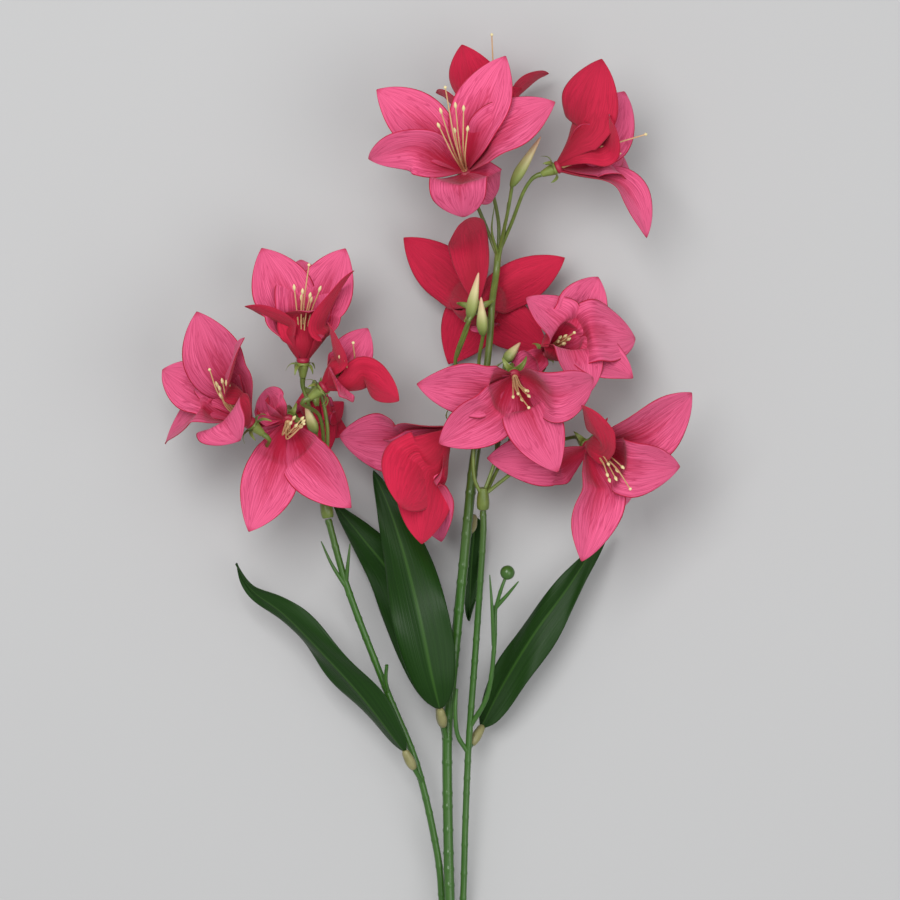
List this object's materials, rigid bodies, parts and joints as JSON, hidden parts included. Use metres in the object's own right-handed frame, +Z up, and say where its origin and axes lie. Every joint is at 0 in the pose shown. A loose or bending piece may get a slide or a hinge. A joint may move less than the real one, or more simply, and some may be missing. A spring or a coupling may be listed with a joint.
{
  "type": "artificial cut peruvian lily",
  "caption": "Lying flower stem in heat-set fabric and moulded plastic: a wired stem splits at a crown into branches with pink trumpet flowers, buds and long dark leaves",
  "frame": {"origin": "centre of the bounding box on the plane that the spray lies on", "axes": "+Y from the cut end towards the flowers, +X to the right seen from above, +Z up from the table"},
  "size_m": [0.24, 0.5362, 0.0951],
  "materials": {
    "petal": "heat-set woven polyester, mid pink veined face, plain crimson reverse",
    "calyx": "soft moulded polyethylene, mid green, low sheen",
    "stamen": "moulded polyethylene, pale tan with cream tips",
    "head": "moulded polyethylene, yellow green to brown green, cream buds",
    "stem": "polyethylene sleeve, mid green, satin gloss with small nodes",
    "leaf": "moulded polyethylene sheet, dark green, satin with a pale midrib",
    "socket": "clear-olive moulded socket, satin",
    "wire": "drawn steel wire"
  },
  "bodies": {
    "root": {"top_front_petals": "petal", "top_front_calyx": "calyx", "top_front_stamens": "stamen", "top_back_petals": "petal", "top_back_calyx": "calyx", "top_back_stamens": "stamen", "top_side_petals": "petal", "top_side_calyx": "calyx", "top_side_stamens": "stamen", "middle_back_petals": "petal", "middle_back_calyx": "calyx", "middle_back_stamens": "stamen", "right_upper_petals": "petal", "right_upper_calyx": "calyx", "right_upper_stamens": "stamen", "centre_front_petals": "petal", "centre_front_calyx": "calyx", "centre_front_stamens": "stamen", "right_lower_petals": "petal", "right_lower_calyx": "calyx", "right_lower_stamens": "stamen", "centre_nodding_petals": "petal", "centre_nodding_calyx": "calyx", "centre_nodding_stamens": "stamen", "left_upright_petals": "petal", "left_upright_calyx": "calyx", "left_upright_stamens": "stamen", "left_side_petals": "petal", "left_side_calyx": "calyx", "left_side_stamens": "stamen", "left_back_petals": "petal", "left_back_calyx": "calyx", "left_back_stamens": "stamen", "left_cup_petals": "petal", "left_cup_calyx": "calyx", "left_cup_stamens": "stamen", "left_open_petals": "petal", "left_open_calyx": "calyx", "left_open_stamens": "stamen", "left_head": "head", "centre_head": "head", "right_head": "head", "left_branch": "stem", "left_wire": "wire", "centre_branch": "stem", "centre_wire": "wire", "right_branch": "stem", "right_wire": "wire", "main_stem": "stem", "main_wire": "wire", "left_leaf": "leaf", "left_leaf_socket": "socket", "centre_leaf": "leaf", "centre_leaf_socket": "socket", "back_leaf": "leaf", "back_leaf_socket": "socket", "small_leaf": "leaf", "small_leaf_socket": "socket", "right_leaf": "leaf", "right_leaf_socket": "socket"}
  },
  "joints": []
}
